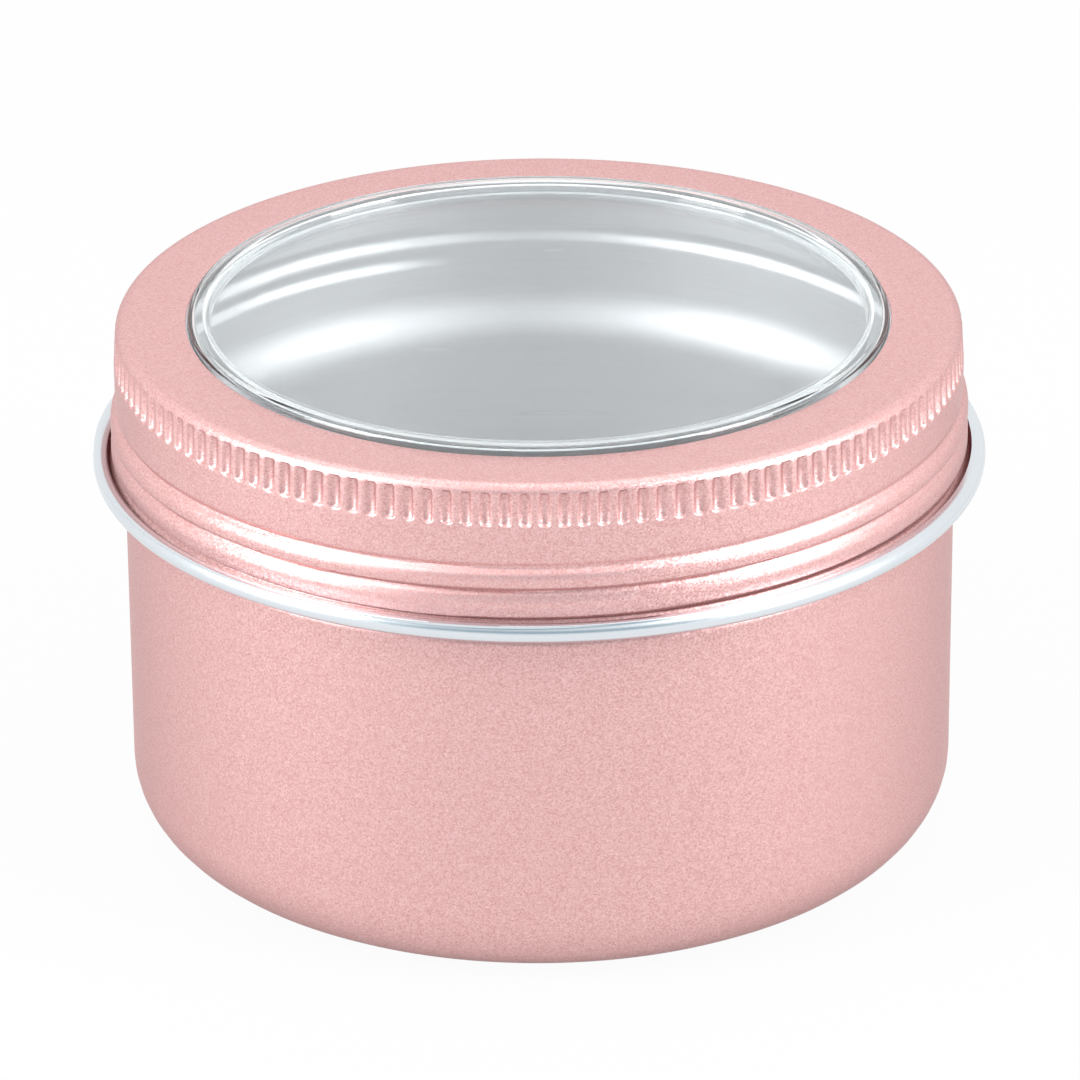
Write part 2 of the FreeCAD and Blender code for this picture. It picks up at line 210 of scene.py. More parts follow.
class TinFinishes(bpy.types.PropertyGroup):
    """Colours and grain of the tin's surfaces"""

    pigment: colour("Pigment", "Rose pigment between the paint's flakes", (0.55, 0.255, 0.245))
    flake: colour("Flake", "Pale metal flakes in the paint", (0.89, 0.61, 0.60))
    metal: colour("Metal", "Bare aluminium inside", (0.77, 0.78, 0.79))
    # Bluer than the inside metal: the aluminium's own colour with a painted reflection of the grey, bluish
    # room mixed in.
    rolled_metal_and_reflection: colour("Rolled metal", "Bare aluminium of the curled edge", (0.78, 0.83, 0.87))
    plastic: colour("Plastic", "Clear sheet of the window", (0.97, 0.985, 0.99))
    # This paler tint, with the lower clearness below, makes the bead milky white: a painted highlight for its
    # bright ring.
    bead_highlight_tint: colour("Plastic bead", "Stressed plastic of the window's bead", (0.93, 0.96, 0.97))
    flake_size: length("Flake size", "Size of the paint's metallic flakes", 0.13 * MM)
    flake_share: number("Flake share", "Share of the paint that shows flakes", 0.5)
    flake_lean: number("Flake lean", "How far the flakes lean out of the surface", 0.12)
    flake_metal: number("Flake metal", "How much more metallic a flake is than the pigment", 0.4)
    pigment_metal: number("Pigment metal", "How metallic the pigment is", 0.55)
    paint_roughness: number("Paint roughness", "Roughness of the satin paint", 0.38)
    line_spacing: length("Line spacing", "Spacing of the drawing lines in the metal", 0.25 * MM)
    line_shade: number("Line shade", "Shade of the drawing lines against the metal", 0.95)
    grain_roughness: number("Grain roughness", "How much rougher the metal's grain gets", 0.04)
    grain_strength: number("Grain strength", "Strength of the metal grain's bump", 0.1)
    bare_roughness: number("Bare roughness", "Roughness of the bare aluminium inside", 0.5)
    bare_grain: length("Bare grain", "Depth of the bare aluminium's grain", 0.008 * MM)
    rolled_roughness: number("Rolled roughness", "Roughness of the curled edge", 0.23)
    rolled_grain: length("Rolled grain", "Depth of the curled edge's grain", 0.002 * MM)
    plastic_roughness: number("Plastic roughness", "Roughness of the clear plastic", 0.02)
    scratch_roughness: number("Scratch roughness", "How much rougher a scratch is", 0.3)
    sheet_clearness: number("Sheet clearness", "Clearness of the window's sheet", 1.0)
    # Lower clearness whitens the bead: a painted highlight for its bright ring.
    bead_highlight_clearness: number("Bead clearness", "Clearness of the bead's stressed inner half", 0.82)


class TinStage(bpy.types.PropertyGroup):
    """Camera, lights, room and floor"""

    elevation: angle("Elevation", "Angle of the view above the table", 24.834)
    roll: angle("Roll", "Turn of the camera about its own axis", -0.4)
    distance: length("Distance", "From the camera to the point it looks at", 660 * MM)
    aim: length("Aim", "Height of the point that the camera looks at", 26.82 * MM)
    focal_pixels: number("Focal length", "Focal length in pixels of the square image", 7041.0)
    room: colour("Room", "Colour of the dim room on the camera's side", (0.34, 0.43, 0.49))
    back_wall: colour("Back wall", "Colour of the paler wall behind the tin", (0.95, 0.95, 0.95))
    ceiling: colour("Ceiling", "Colour of the white ceiling", (1.0, 1.0, 1.0))
    side_level: number("Side level", "Brightness of the two side lights", 7.2)
    side_azimuth: angle("Side azimuth", "Turn of the side lights from the camera's side", 65)
    side_elevation: angle("Side elevation", "Angle of the side lights above the table", 28)
    side_distance: length("Side distance", "From the side lights to the tin", 0.65)
    side_width: length("Side width", "Width of the side lights", 0.3)
    side_height: length("Side height", "Height of the side lights", 0.65)
    top_level: number("Top level", "Brightness of the light overhead", 0.8)
    top_azimuth: angle("Top azimuth", "Turn of the light overhead from the camera's side", 180)
    top_elevation: angle("Top elevation", "Angle of the light overhead above the table", 75)
    top_distance: length("Top distance", "From the light overhead to the tin", 0.7)
    top_size: length("Top size", "Side of the square light overhead", 0.6)
    floor_shade: colour("Floor shade", "Colour of the floor where it doesn't glow", (0.5, 0.5, 0.5))
    floor_glow: number("Floor glow", "Share of the floor that always shows white", 0.95)
    mirror_glow: number("Mirror glow", "The same share where metal or glass shows the floor", 0.54)


def unit(vector):
    """The vector divided by its own length."""
    return vector / np.linalg.norm(vector)


def quarter_turn(vector):
    """The vector turned a quarter turn to the left."""
    return np.array([-vector[1], vector[0]])


def corner_arc(before, corner, after, rounding):
    """Points of an arc that touches both runs at a corner.

    Its centre stands one rounding to the inner side of its first touching point, and the points are that
    first point turned about the centre in even steps of the angle between the two runs.
    """
    arriving, leaving = unit(corner - before), unit(after - corner)
    turn = math.atan2(quarter_turn(arriving) @ leaving, arriving @ leaving)
    start = corner - arriving * rounding * math.tan(abs(turn) / 2)
    centre = start + quarter_turn(arriving) * math.copysign(rounding, turn)
    steps = np.linspace(0, turn, max(3, math.ceil(abs(turn) / ARC_STEP)) + 1)[:, None]
    arm = start - centre
    return centre + arm * np.cos(steps) + quarter_turn(arm) * np.sin(steps)


def rounded_profile(corners):
    """Points (radius, height) along straight runs whose corners are arcs.

    A corner is (radius, height, rounding, rows): the rounding is zero for a plain point, and rows is how
    many even steps the straight run to the next corner is divided into.
    """
    spots = np.array([corner[:2] for corner in corners])
    arcs = [spots[:1]]
    for before, spot, after, corner in zip(spots, spots[1:], spots[2:], corners[1:]):
        arcs.append(corner_arc(before, spot, after, corner[2]) if corner[2] else spot[None])
    arcs.append(spots[-1:])
    parts = []
    for arc, following, corner in zip(arcs, arcs[1:], corners):
        shares = np.linspace(0, 1, corner[3] + 1)[1:-1, None]
        parts += [arc, arc[-1] + (following[0] - arc[-1]) * shares]
    return np.vstack([*parts, arcs[-1]])


def turned(radii, heights, angles):
    """Points of a turned surface: the radius times the angle's cosine and sine, and the height."""
    radii, heights, angles = np.broadcast_arrays(radii, heights, angles)
    return np.stack([radii * np.cos(angles), radii * np.sin(angles), heights], axis=-1)


def ring_faces(first, second, first_size, second_size):
    """Faces between two rings of points, given by their first index and their size.

    Equal rings give four-sided faces, a single point gives triangles, and where one ring has several points
    for each of the other's, a face takes all of them along that side.
    """
    fewer, more = sorted((first_size, second_size))
    size = fewer if fewer > 1 else more
    steps = np.arange(size)[:, None]

    def side(start, points):
        ratio = points // size
        if points == 1:
            return np.full((size, 1), start)
        return start + (steps * ratio + np.arange(ratio + 1)) % points

    return np.hstack([side(first, first_size), side(second, second_size)[:, ::-1]])


def smooth_step(values):
    """Zero below 0, one above 1, and three squares less two cubes between."""
    share = np.clip(values, 0, 1)
    return share * share * (3 - 2 * share)


def soft_minimum(first, second, softness):
    """The lesser of two surfaces, blended by a parabola where they are within the softness of each other."""
    share = np.clip(0.5 + (second - first) / (2 * softness), 0, 1)
    return second + (first - second) * share - softness * share * (1 - share)


def helix_turns(angles, heights, start, pitch, begin, sweep, fade):
    """Height above each turn of a helix, and how far that turn has faded in.

    A turn lies at the start height plus the pitch times the share of a turn since it began. It fades in and
    out over an angle at its two ends.
    """
    for turn in range(math.ceil((begin + sweep) / TURN)):
        travelled = angles + turn * TURN - begin
        strength = smooth_step(travelled / fade) * smooth_step((sweep - travelled) / fade)
        yield heights - start - pitch * travelled / TURN, strength


def make_piece(name, rings, closed, finishes, materials):
    """A mesh object at the origin from rings of points, with a finish for each strip between two rings."""
    sizes = [len(ring) for ring in rings]
    starts = np.concatenate([[0], np.cumsum(sizes)])
    faces, indices = [], []
    for strip in range(len(rings) if closed else len(rings) - 1):
        after = (strip + 1) % len(rings)
        strip_faces = ring_faces(starts[strip], starts[after], sizes[strip], sizes[after])
        faces += strip_faces.tolist()
        indices.append(np.full(len(strip_faces), finishes[strip]))
    mesh = bpy.data.meshes.new(name)
    mesh.from_pydata(np.vstack(rings), [], faces)
    for material in materials:
        mesh.materials.append(material)
    mesh.polygons.foreach_set("material_index", np.concatenate(indices).astype(np.int32))
    mesh.polygons.foreach_set("use_smooth", np.ones(len(faces), dtype=bool))
    mesh.set_sharp_from_angle(angle=SHARP_ANGLE)
    mesh.update()
    if mesh.validate():
        raise RuntimeError(f"{name} has faulty faces")
    piece = bpy.data.objects.new(name, mesh)
    bpy.context.scene.collection.objects.link(piece)
    return piece


def can_rings(sizes, lid):
    """Rings of the can, from the middle of its base out and up its wall, over the lip and down inside.

    The surface is the rounded section turned about the axis. Inside, the section has a low rounded ledge
    below the neck. At the thread the outer face moves out by the ridge's height and the inner face by its
    hollow's depth, each times a smooth step from its foot to its crest.
    """
    sheet = sizes.sheet
    wall, neck = sizes.wall_radius, sizes.wall_radius - sizes.shoulder_step
    panel = wall - sizes.corner - sizes.foot_width
    bend = sizes.panel_round + sheet
    lip_edge = neck - sizes.lip_width
    low, high = NECK_THREAD_ZONE
    profile = rounded_profile([
        (0, sizes.panel_rise, 0, 6),
        (panel, sizes.panel_rise, sizes.panel_round, 1),
        (panel, 0, bend, 2),
        (wall, 0, sizes.corner, 6),
        (wall, sizes.shoulder_base, sizes.shoulder_round, 1),
        (neck, sizes.shoulder_top, sizes.shoulder_round, 1),
        (neck, low, 0, NECK_ROWS),
        (neck, high, 0, 2),
        (neck, sizes.height, sizes.lip_round, 1),
        (lip_edge, sizes.height, sizes.lip_round, 1),
        (lip_edge, sizes.height - sizes.lip_drop, 0, 1),
        (lip_edge + sheet, sizes.height - sizes.lip_drop, 0, 1),
        (lip_edge + sheet, sizes.height - sheet, sizes.lip_round - sheet, 1),
        (neck - sheet, sizes.height - sheet, sizes.lip_round - sheet, 2),
        (neck - sheet, high, 0, NECK_ROWS),
        (neck - sheet, low, 0, 1),
        (neck - sheet, sizes.ledge_top, sizes.ledge_round, 1),
        (sizes.ledge_radius, sizes.ledge_base, sizes.ledge_round, 1),
        (wall - sheet, sizes.ledge_foot, sizes.ledge_foot, 6),
        (wall - sheet, sheet, sizes.corner - sheet, 2),
        (panel + sheet, sheet, sizes.panel_round, 1),
        (panel + sheet, sizes.panel_rise + sheet, bend, 6),
        (0, sizes.panel_rise + sheet, 0, 1),
    ])
    radii, heights = profile[:, :1], profile[:, 1:]
    angles = np.linspace(0, TURN, COLUMNS, endpoint=False)[None]
    lip_row = int(np.argmax(profile[:, 1]))
    outside = np.arange(len(profile)) < lip_row
    foot = np.where(outside, sizes.thread_foot, sizes.hollow_foot)[:, None]
    reach = foot - np.where(outside, sizes.thread_crest, sizes.hollow_crest)[:, None]
    depth = np.where(outside, sizes.thread_height, sizes.hollow_depth)[:, None]
    helix = sizes.thread_start, lid.pitch, sizes.thread_angle, sizes.thread_sweep, lid.fade
    for above, strength in helix_turns(angles, heights, *helix):
        radii = radii + depth * strength * smooth_step((foot - abs(above)) / reach)
    grid = turned(radii, heights, angles)
    finishes = np.where(outside, PAINTED, BARE)
    return [grid[0, :1], *grid[1:-1], grid[-1, :1]], finishes


def lid_wall_radii(sizes, radii, heights, angles, flare_top):
    """Radii of the lid's sheet with the thread rolled into it.

    Each turn of the groove takes away its depth times a raised cosine of the height above the groove's
    middle. Below that turn the wall swells by the ridge's height, out along a parabola and back in a smooth
    step. Both run out just above the flare.
    """
    helix = sizes.groove_start, sizes.pitch, sizes.groove_angle, sizes.groove_sweep, sizes.fade
    run_out = smooth_step((heights - flare_top) / sizes.ridge_end)
    for turn, (above, strength) in enumerate(helix_turns(angles, heights, *helix)):
        travelled = (angles + turn * TURN - sizes.groove_angle) / sizes.groove_sweep
        depth = sizes.groove_depth * (1 - sizes.groove_rise * travelled)
        share = np.clip(above / sizes.groove_width, -1, 1)
        groove = depth * (0.5 + 0.5 * np.cos(math.pi * share))
        fallen = smooth_step((-above - sizes.ridge_crest) / sizes.ridge_fall)
        below = np.clip(-above / sizes.ridge_ledge, 0, 1)
        ridge = sizes.ridge_height * below * (2 - below) * (1 - fallen)
        radii = radii + strength * run_out * (ridge - groove)
    return radii


def flute_radii(sizes, offsets, heights):
    """Radius of the round hollow of a flute, by the angle from its middle and the height.

    It is the nearer crossing of a ray from the axis with a circle of the flute's radius, whose middle lies
    outside the wall and leans in with it. At both ends the hollow slopes out of the wall.
    """
    lean = sizes.taper * np.clip((heights - sizes.flute_base) / (sizes.top - sizes.flute_base), 0, 1)
    middle = sizes.radius - lean + sizes.flute_radius - sizes.flute_depth
    across = middle * np.sin(offsets)
    hollow = middle * np.cos(offsets) - np.sqrt(np.maximum(sizes.flute_radius**2 - across**2, 0))
    open_side = np.where(abs(across) < sizes.flute_radius, hollow, middle + sizes.flute_depth)
    lower = 1 - smooth_step((heights - sizes.flute_base) / sizes.flute_tip)
    upper = smooth_step((heights - sizes.flute_top) / sizes.flute_end)
    return open_side + (lower + upper) * (sizes.flute_depth + sizes.flute_soft)


def lid_rings(sizes, sheet):
    """Rings of the lid, from its hole out under the ring, down inside, round the curl and up the outside.

    The surface is the closed rounded section turned about the axis, with the thread rolled into both faces of
    the wall. On the knurl the wall leans in to the top ring, the rings are finer, and the radius is the
    lesser of the section's and the flute's.
    """
    wall, inner = sizes.radius, sizes.radius - sheet
    under = sizes.top - sheet
    curl_top = sizes.curl_base + sizes.curl_size
    curl_inner = sizes.curl_radius - sizes.curl_size
    edge = wall + sizes.curl_seam
    bend = sizes.curl_round - sheet
    curl_under = curl_top - sheet
    flare_base = curl_under - sizes.flare_drop
    flare_top = flare_base + sizes.flare_height
    low, high = flare_top + sizes.flare_round / 2, LID_THREAD_TOP
    band = sizes.flute_base - BAND_MARGIN
    crown = wall - sizes.taper
    tip_share = sizes.flute_tip / (sizes.top - sizes.flute_base)
    ring_edge = crown - sizes.corner - RING_MARGIN
    skirt = rounded_profile([
        (sizes.hole_radius, under, 0, 4),
        (inner - sizes.taper, under, sizes.corner - sheet, 2),
        (inner, high, 0, LID_INNER_ROWS),
        (inner, low, 0, 1),
        (inner, flare_top, sizes.flare_round, 1),
        (curl_inner, flare_base, sizes.flare_round, 1),
        (curl_inner, sizes.curl_base, sizes.curl_round, 1),
        (sizes.curl_radius, sizes.curl_base, sizes.curl_round, 1),
        (sizes.curl_radius, curl_top, sizes.curl_round, 1),
        (edge, curl_top, 0, 1),
        (edge, curl_under, 0, 1),
        (sizes.curl_radius - sheet, curl_under, bend, 1),
        (sizes.curl_radius - sheet, sizes.curl_base + sheet, bend, 1),
        (curl_inner + sheet, sizes.curl_base + sheet, bend, 1),
        (curl_inner + sheet, flare_base, sizes.flare_round, 1),
        (wall, flare_top, sizes.flare_round, 1),
        (wall, low, 0, LID_OUTER_ROWS),
        (wall, high, 0, 1),
        (wall, band, 0, 1),
    ])
    knurl = rounded_profile([
        (wall, band + BAND_STEP, 0, 2),
        (wall, sizes.flute_base, 0, FLUTE_END_ROWS),
        (wall - sizes.taper * tip_share, sizes.flute_base + sizes.flute_tip, 0, 2),
        (crown, sizes.top, sizes.corner, 1),
        (ring_edge, sizes.top, 0, 1),
    ])
    ring = rounded_profile([
        (ring_edge - RING_STEP, sizes.top, 0, 3),
        (sizes.hole_radius, sizes.top, sizes.edge_round, 1),
        (sizes.hole_radius, under + sizes.edge_round, 0, 1),
    ])
    flute = TURN / sizes.flute_count
    order = np.arange(sizes.flute_count)[:, None] + sizes.flute_turn
    coarse = ((order + COARSE_COLUMNS) * flute).reshape(1, -1)
    fine = ((order + FLUTE_COLUMNS) * flute).reshape(1, -1)
    offsets = np.tile(FLUTE_COLUMNS * flute, sizes.flute_count)[None]
    radii, heights = skirt[:, :1], skirt[:, 1:]
    skirt_rows = turned(lid_wall_radii(sizes, radii, heights, coarse % TURN, flare_top), heights, coarse)
    radii, heights = knurl[:, :1], knurl[:, 1:]
    pressed = soft_minimum(radii, flute_radii(sizes, offsets, heights), sizes.flute_soft)
    knurl_rows = turned(pressed, heights, fine)
    ring_rows = turned(ring[:, :1], ring[:, 1:], coarse)
    rows = np.vstack([skirt, knurl, ring])
    finishes = np.full(len(rows), PAINTED)
    cut_edge = int(np.argmin(abs(skirt[:, 0] - edge) + abs(skirt[:, 1] - curl_under)))
    finishes[:cut_edge] = np.where(skirt[:cut_edge, 0] > inner + CURL_MARGIN, ROLLED, BARE)
    finishes[-1] = BARE
    return [*skirt_rows, *knurl_rows, *ring_rows], finishes


def window_rings(sizes):
    """Rings of the window, from the middle of its underside out to the rim and back over the top.

    The surface is the rounded section of the formed sheet turned about the axis. The bead's inner half has a
    finish of its own, because the sheet is stretched there.
    """
    sheet = sizes.sheet
    under = sizes.panel_top - sheet
    bead_inner = sizes.bead_radius - sizes.bead_width
    rim_inner = sizes.rim_radius - sheet
    root = sizes.root_round
    profile = rounded_profile([
        (0, under, 0, 8),
        (bead_inner + sheet, under, root, 1),
        (bead_inner + sheet, sizes.bead_top - sheet, root, 1),
        (sizes.bead_radius - sheet, sizes.bead_top - sheet, root, 1),
        (sizes.bead_radius - sheet, under, root, 2),
        (rim_inner, under, sizes.rim_round - sheet, 1),
        (rim_inner, sizes.rim_base, 0, 1),
        (sizes.rim_radius, sizes.rim_base, 0, 1),
        (sizes.rim_radius, sizes.panel_top, sizes.rim_round, 2),
        (sizes.bead_radius, sizes.panel_top, root, 1),
        (sizes.bead_radius, sizes.bead_top, sizes.bead_round, 1),
        (bead_inner, sizes.bead_top, sizes.bead_round, 1),
        (bead_inner, sizes.panel_top, root, 8),
        (0, sizes.panel_top, 0, 1),
    ])
    grid = turned(profile[:, :1], profile[:, 1:], np.linspace(0, TURN, COLUMNS, endpoint=False)[None])
    # The bead's inner half gets the milky finish, a painted highlight for the bright ring it shows.
    stretched = (profile[:, 0] > bead_inner - root) & (profile[:, 0] < sizes.bead_radius - sheet - root)
    finishes = np.where(stretched & np.roll(stretched, -1), BEAD_HIGHLIGHT, SHEET)
    return [grid[0, :1], *grid[1:-1], grid[-1, :1]], finishes


class Nodes:
    """Short ways to add and join nodes in one node tree."""

    def __init__(self, tree):
        self.tree = tree

    def add(self, kind, settings=None, **inputs):
        """A new node, its settings, and its inputs by name, as values or as sockets to join."""
        node = self.tree.nodes.new(kind)
        for key, value in (settings or {}).items():
            setattr(node, key, value)
        for key, value in inputs.items():
            self.feed(node.inputs[key.replace("_", " ")], value)
        return node

    def feed(self, socket, value):
        """Join another socket to this one, or set its value."""
        if isinstance(value, bpy.types.NodeSocket):
            self.tree.links.new(value, socket)
        else:
            socket.default_value = value

    def math(self, operation, *values):
        """The result of a Math node on values or sockets."""
        node = self.add("ShaderNodeMath", {"operation": operation})
        for socket, value in zip(node.inputs, values):
            self.feed(socket, value)
        return node.outputs[0]

    def vector(self, operation, *values):
        """The vector result of a Vector Math node on values or sockets."""
        node = self.add("ShaderNodeVectorMath", {"operation": operation})
        sockets = [node.inputs["Scale"]] if operation == "SCALE" else node.inputs[1:]
        for socket, value in zip([node.inputs[0], *sockets], values):
            self.feed(socket, value)
        return node.outputs[0]

    def ramp(self, value, low, high):
        """A value mapped evenly from the range low to high onto 0 to 1."""
        node = self.add("ShaderNodeMapRange", Value=value)
        self.feed(node.inputs["From Min"], low)
        self.feed(node.inputs["From Max"], high)
        return node.outputs[0]

    def blend(self, factor, first, second):
        """A colour between two colours."""
        node = self.add("ShaderNodeMix", {"data_type": "RGBA"})
        for socket, value in zip((node.inputs[0], node.inputs[6], node.inputs[7]), (factor, first, second)):
            self.feed(socket, value)
        return node.outputs[2]


def new_group(name, inputs, outputs):
    """A shader node group with named sockets, and its input and output nodes."""
    tree = bpy.data.node_groups.new(name, "ShaderNodeTree")
    for direction, sockets in (("INPUT", inputs), ("OUTPUT", outputs)):
        for socket, kind in sockets:
            tree.interface.new_socket(socket, in_out=direction, socket_type=f"NodeSocket{kind}")
    nodes = Nodes(tree)
    return tree, nodes, nodes.add("NodeGroupInput"), nodes.add("NodeGroupOutput")


def flake_group():
    """Metallic flakes: small cells, each with its own lean, that differ in how much metal they show."""
    sockets = [("Place", "Vector"), ("Flake Size", "Float"), ("Share", "Float"), ("Lean", "Float")]
    results = [("Flake", "Float"), ("Normal", "Vector")]
    tree, nodes, given, result = new_group("metallic_flakes", sockets, results)
    scale = nodes.math("DIVIDE", 1, given.outputs["Flake Size"])
    cells = nodes.add("ShaderNodeTexVoronoi", Vector=given.outputs["Place"], Scale=scale)
    speckle = nodes.add("ShaderNodeTexNoise", Vector=given.outputs["Place"], Scale=scale, Detail=2.0)
    chance = nodes.add("ShaderNodeSeparateXYZ", Vector=cells.outputs["Color"]).outputs[0]
    mottle = nodes.math("MULTIPLY", nodes.ramp(speckle.outputs[0], *SPECKLE_RANGE), SPECKLE_SHARE)
    uneven = nodes.math("MULTIPLY_ADD", chance, CELL_SHARE, mottle)
    shown = nodes.math("ADD", nodes.math("SUBTRACT", given.outputs["Share"], 0.5), uneven)
    lean = nodes.vector("SUBTRACT", cells.outputs["Color"], CELL_MIDDLE)
    tilt = nodes.vector("SCALE", lean, given.outputs["Lean"])
    facing = nodes.add("ShaderNodeNewGeometry").outputs["Normal"]
    nodes.feed(result.inputs["Flake"], nodes.ramp(shown, 0.0, 1.0))
    nodes.feed(result.inputs["Normal"], nodes.vector("NORMALIZE", nodes.vector("ADD", facing, tilt)))
    return tree


def drawn_line_group():
    """Fine lines left by drawing the metal: noise stretched round the axis, and an even grain as fine."""
    sockets = [("Place", "Vector"), ("Spacing", "Float")]
    tree, nodes, given, result = new_group("drawn_lines", sockets, [("Line", "Float"), ("Grain", "Float")])
    place = nodes.add("ShaderNodeSeparateXYZ", Vector=given.outputs["Place"])
    flat = nodes.add("ShaderNodeCombineXYZ", X=place.outputs[0], Y=place.outputs[1])
    reach = nodes.add("ShaderNodeVectorMath", {"operation": "LENGTH"})
    nodes.feed(reach.inputs[0], flat.outputs[0])
    around = nodes.vector("NORMALIZE", flat.outputs[0])
    across = nodes.math("ADD", reach.outputs["Value"], place.outputs[2])
    steps = nodes.math("DIVIDE", across, given.outputs["Spacing"])
    lifted = nodes.add("ShaderNodeCombineXYZ", Z=steps)
    stretched = nodes.vector("ADD", nodes.vector("SCALE", around, LINE_REPEAT), lifted.outputs[0])
    lines = nodes.add("ShaderNodeTexNoise", Vector=stretched, Scale=1.0, Detail=3.0)
    scale = nodes.math("DIVIDE", 1, given.outputs["Spacing"])
    grain = nodes.add("ShaderNodeTexNoise", Vector=given.outputs["Place"], Scale=scale, Detail=2.0)
    nodes.feed(result.inputs["Line"], nodes.ramp(lines.outputs[0], *LINE_RANGE))
    nodes.feed(result.inputs["Grain"], nodes.ramp(grain.outputs[0], *GRAIN_RANGE))
    return tree


def scratch_group():
    """Faint hairline scratches: long thin streaks of stretched noise in two directions."""
    sockets, results = [("Place", "Vector")], [("Scratch", "Float")]
    tree, nodes, given, result = new_group("hairline_scratches", sockets, results)
    streaks = []
    for turn in SCRATCH_TURNS:
        spread = {"Rotation": (0, 0, turn), "Scale": SCRATCH_SCALE}
        moved = nodes.add("ShaderNodeMapping", Vector=given.outputs["Place"], **spread)
        noise = nodes.add("ShaderNodeTexNoise", Vector=moved.outputs[0], Scale=1.0, Detail=1.0)
        streaks.append(nodes.ramp(noise.outputs[0], *SCRATCH_RANGE))
    nodes.feed(result.inputs["Scratch"], nodes.math("MAXIMUM", *streaks))
    return tree


def new_material(name):
    """A material's node helper with its Principled shader and its object coordinates."""
    material = bpy.data.materials.new(name)
    material.use_nodes = True
    nodes = Nodes(material.node_tree)
    shader = material.node_tree.nodes["Principled BSDF"]
    place = nodes.add("ShaderNodeTexCoord").outputs["Object"]
    return material, nodes, shader, place


def shared_group(name, build):
    """The node group of this name, built the first time it is asked for."""
    return bpy.data.node_groups.get(name) or build()


def rose_paint(finish):
    """Satin paint of pale metal flakes in rose pigment."""
    material, nodes, shader, place = new_material("rose_paint")
    tree = shared_group("metallic_flakes", flake_group)
    look = {"Flake_Size": finish.flake_size, "Share": finish.flake_share, "Lean": finish.flake_lean}
    flakes = nodes.add("ShaderNodeGroup", {"node_tree": tree}, Place=place, **look)
    tint = nodes.blend(flakes.outputs["Flake"], (*finish.pigment, 1), (*finish.flake, 1))
    nodes.feed(shader.inputs["Base Color"], tint)
    metal = nodes.math("MULTIPLY_ADD", flakes.outputs["Flake"], finish.flake_metal, finish.pigment_metal)
    nodes.feed(shader.inputs["Metallic"], metal)
    nodes.feed(shader.inputs["Normal"], flakes.outputs["Normal"])
    shader.inputs["Specular Tint"].default_value = PAINT_GLOSS_TINT
    shader.inputs["IOR"].default_value = PAINT_INDEX
    shader.inputs["Roughness"].default_value = finish.paint_roughness
    return material


def bare_metal(name, finish, tint, roughness, depth):
    """Bare aluminium with drawing lines round the axis."""
    material, nodes, shader, place = new_material(name)
    tree = shared_group("drawn_lines", drawn_line_group)
    lines = nodes.add("ShaderNodeGroup", {"node_tree": tree}, Place=place, Spacing=finish.line_spacing)
    grain = lines.outputs["Grain"]
    dark = tuple(finish.line_shade * part for part in tint)
    shade = nodes.blend(lines.outputs["Line"], (*dark, 1), (*tint, 1))
    nodes.feed(shader.inputs["Base Color"], shade)
    uneven = nodes.math("MULTIPLY_ADD", grain, finish.grain_roughness, roughness)
    nodes.feed(shader.inputs["Roughness"], uneven)
    bump = nodes.add("ShaderNodeBump", Height=grain, Strength=finish.grain_strength, Distance=depth)
    nodes.feed(shader.inputs["Normal"], bump.outputs[0])
    shader.inputs["Metallic"].default_value = 1.0
    return material


def clear_plastic(name, finish, tint, clearness):
    """Clear formed sheet that lets lamps through to the inside, with faint scratches."""
    material, nodes, shader, place = new_material(name)
    tree = shared_group("hairline_scratches", scratch_group)
    scratches = nodes.add("ShaderNodeGroup", {"node_tree": tree}, Place=place)
    levels = finish.scratch_roughness, finish.plastic_roughness
    nodes.feed(shader.inputs["Roughness"], nodes.math("MULTIPLY_ADD", scratches.outputs[0], *levels))
    shader.inputs["Base Color"].default_value = (*tint, 1)
    shader.inputs["Transmission Weight"].default_value = clearness
    shader.inputs["IOR"].default_value = PLASTIC_INDEX
    path = nodes.add("ShaderNodeLightPath")
    clear = nodes.add("ShaderNodeBsdfTransparent", Color=(*tint, 1))
    mixed = nodes.add("ShaderNodeMixShader", Fac=path.outputs["Is Shadow Ray"])
    nodes.feed(mixed.inputs[1], shader.outputs[0])
    nodes.feed(mixed.inputs[2], clear.outputs[0])
    nodes.feed(material.node_tree.nodes["Material Output"].inputs["Surface"], mixed.outputs[0])
    return material


def finish_material(name, build, *values):
    """The material of this name, built the first time a piece asks for it."""
    return bpy.data.materials.get(name) or build(*values)


def metal_finishes(finish):
    """The painted, bare and rolled finishes of the aluminium, in the order that the pieces number them."""
    painted = finish_material("rose_paint", rose_paint, finish)
    inside = "bare_aluminium", finish, finish.metal, finish.bare_roughness, finish.bare_grain
    # The rolled finish's colour carries a painted reflection of the grey, bluish room as well as the
    # aluminium's own colour.
    rolled = "rolled_aluminium", finish, finish.rolled_metal_and_reflection, finish.rolled_roughness, finish.rolled_grain
    return [painted, *(finish_material(values[0], bare_metal, *values) for values in (inside, rolled))]


class TIN_OT_can_body(bpy.types.Operator):
    """Builds the painted can with its bare inside"""

    bl_idname = "tin.can_body"
    bl_label = "Can"

    def execute(self, context):
        scene = context.scene
        rings, finishes = can_rings(scene.tin_can, scene.tin_lid)
        piece = make_piece("can", rings, False, finishes, metal_finishes(scene.tin_finishes))
        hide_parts("can_body")
        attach(piece, "can")
        return {"FINISHED"}


class TIN_OT_lid_shell(bpy.types.Operator):
    """Builds the screw lid with its knurl, thread and curled edge"""

    bl_idname = "tin.lid_shell"
    bl_label = "Lid"

    def execute(self, context):
        scene = context.scene
        rings, finishes = lid_rings(scene.tin_lid, scene.tin_can.sheet)
        piece = make_piece("lid", rings, True, finishes, metal_finishes(scene.tin_finishes))
        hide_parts("lid_shell")
        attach(piece, "lid")
        return {"FINISHED"}


